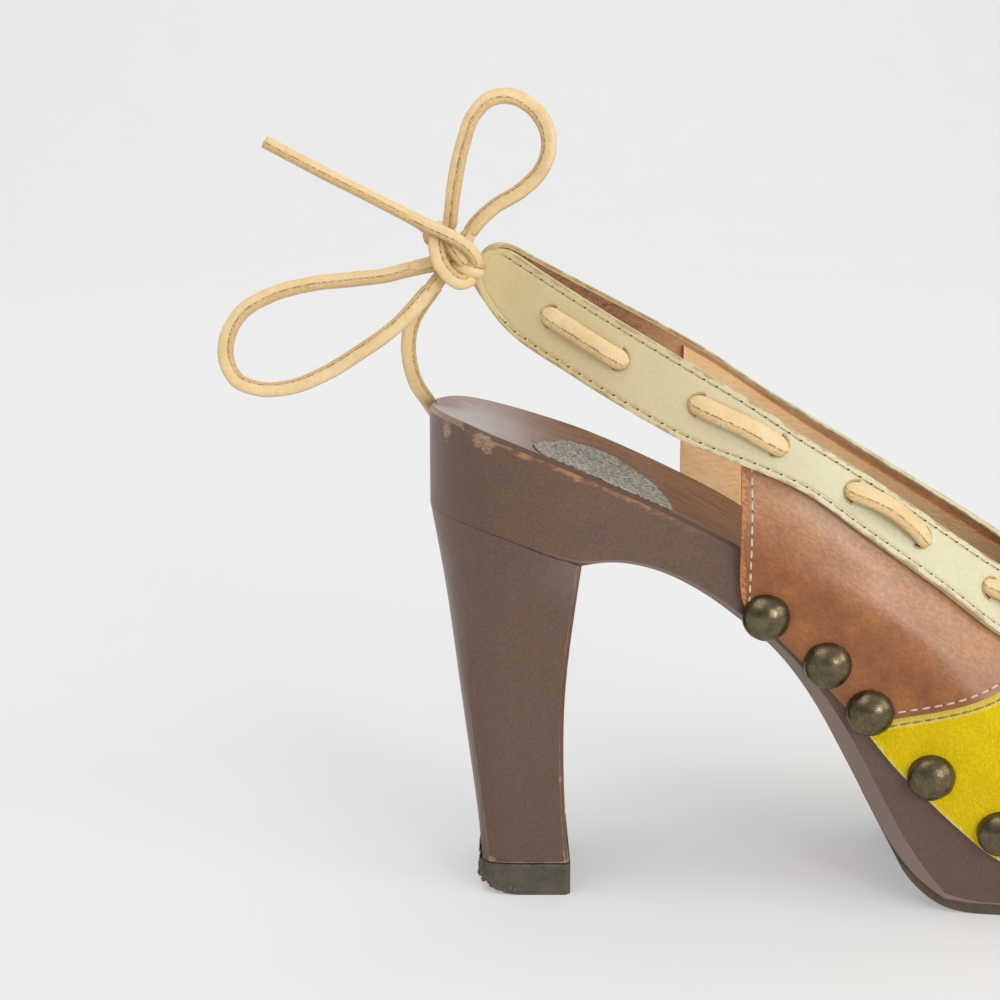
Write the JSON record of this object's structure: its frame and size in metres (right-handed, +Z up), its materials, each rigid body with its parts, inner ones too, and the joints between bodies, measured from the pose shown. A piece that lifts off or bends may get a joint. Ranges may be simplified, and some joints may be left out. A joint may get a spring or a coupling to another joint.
{
  "type": "slingback clog",
  "caption": "High-heeled slingback clog for the right foot: carved wooden sole on a block heel, leather upper nailed on with dome studs, laced topline band tied in a bow behind the heel.",
  "frame": {"origin": "on the floor, under the middle of the shoe's box without the bow at the back", "axes": "+X from the heel to the toe, +Y to the inner (medial) side of the foot, +Z up"},
  "size_m": [0.2661, 0.0858, 0.1902],
  "materials": {
    "stained_wood": "satin dark stain",
    "tip_rubber": "matte, worn",
    "sole_rubber": "matte",
    "upper_leather": "yellow suede vamp and burnished brown quarters",
    "band_leather": "smooth satin",
    "stud_brass": "antique dark",
    "lace_leather": "smooth, soft"
  },
  "bodies": {
    "root": {"sole_board": "stained_wood", "heel_block": "stained_wood", "heel_tip": "tip_rubber", "outsole": "sole_rubber", "upper": "upper_leather", "band": "band_leather", "stud_01": "stud_brass", "stud_02": "stud_brass", "stud_03": "stud_brass", "stud_04": "stud_brass", "stud_05": "stud_brass", "stud_06": "stud_brass", "stud_07": "stud_brass", "stud_08": "stud_brass", "stud_09": "stud_brass", "stud_10": "stud_brass", "stud_11": "stud_brass", "stud_12": "stud_brass", "stud_13": "stud_brass", "stud_14": "stud_brass", "stud_15": "stud_brass", "stud_16": "stud_brass", "stud_17": "stud_brass", "stud_18": "stud_brass", "stud_19": "stud_brass", "lace_bar_1": "lace_leather", "lace_bar_2": "lace_leather", "lace_bar_3": "lace_leather", "lace_bar_4": "lace_leather", "lace_bar_5": "lace_leather", "lace_bar_6": "lace_leather", "lace_bar_7": "lace_leather", "lace_bar_8": "lace_leather", "lace_bar_9": "lace_leather", "lace_knot": "lace_leather", "lace_loop_upper": "lace_leather", "lace_loop_lower": "lace_leather", "lace_end_long": "lace_leather", "lace_end_short": "lace_leather"}
  },
  "joints": []
}
